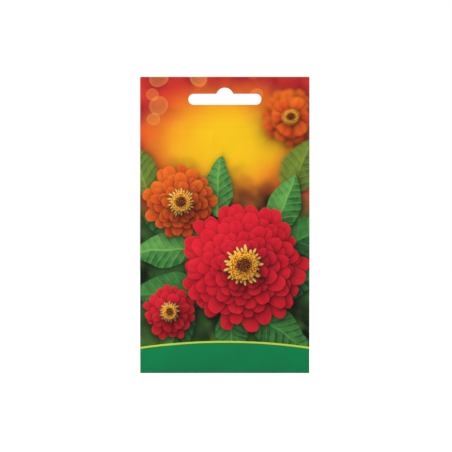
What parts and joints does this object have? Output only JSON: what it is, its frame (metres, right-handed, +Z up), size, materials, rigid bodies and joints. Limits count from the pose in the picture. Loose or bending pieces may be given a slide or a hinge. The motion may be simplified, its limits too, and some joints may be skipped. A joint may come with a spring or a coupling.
{
  "type": "seed packet",
  "caption": "Flat sealed paper packet folded from one sheet, with a euro hang slot in its glued header, a side lap, a folded foot and loose seeds in its pocket.",
  "frame": {"origin": "top of the hang slot's round middle, halfway between the two glued plies of the header, where a display hook carries the packet", "axes": "+Z up along the packet's height, from the bottom fold to the top edge; the printed front faces -Y; +X is on the right of a viewer who faces the front"},
  "size_m": [0.08, 0.0052, 0.14],
  "materials": {
    "printed_paper": "satin",
    "seed_husk": "matte"
  },
  "bodies": {
    "root": {"packet_paper": "printed_paper", "seed_01": "seed_husk", "seed_02": "seed_husk", "seed_03": "seed_husk", "seed_04": "seed_husk", "seed_05": "seed_husk", "seed_06": "seed_husk", "seed_07": "seed_husk", "seed_08": "seed_husk", "seed_09": "seed_husk", "seed_10": "seed_husk", "seed_11": "seed_husk", "seed_12": "seed_husk", "seed_13": "seed_husk", "seed_14": "seed_husk", "seed_15": "seed_husk", "seed_16": "seed_husk", "seed_17": "seed_husk", "seed_18": "seed_husk", "seed_19": "seed_husk", "seed_20": "seed_husk", "seed_21": "seed_husk", "seed_22": "seed_husk", "seed_23": "seed_husk", "seed_24": "seed_husk", "seed_25": "seed_husk", "seed_26": "seed_husk", "seed_27": "seed_husk", "seed_28": "seed_husk", "seed_29": "seed_husk", "seed_30": "seed_husk", "seed_31": "seed_husk", "seed_32": "seed_husk", "seed_33": "seed_husk", "seed_34": "seed_husk", "seed_35": "seed_husk", "seed_36": "seed_husk", "seed_37": "seed_husk", "seed_38": "seed_husk", "seed_39": "seed_husk", "seed_40": "seed_husk", "seed_41": "seed_husk", "seed_42": "seed_husk", "seed_43": "seed_husk", "seed_44": "seed_husk", "seed_45": "seed_husk", "seed_46": "seed_husk", "seed_47": "seed_husk", "seed_48": "seed_husk", "seed_49": "seed_husk", "seed_50": "seed_husk"}
  },
  "joints": []
}
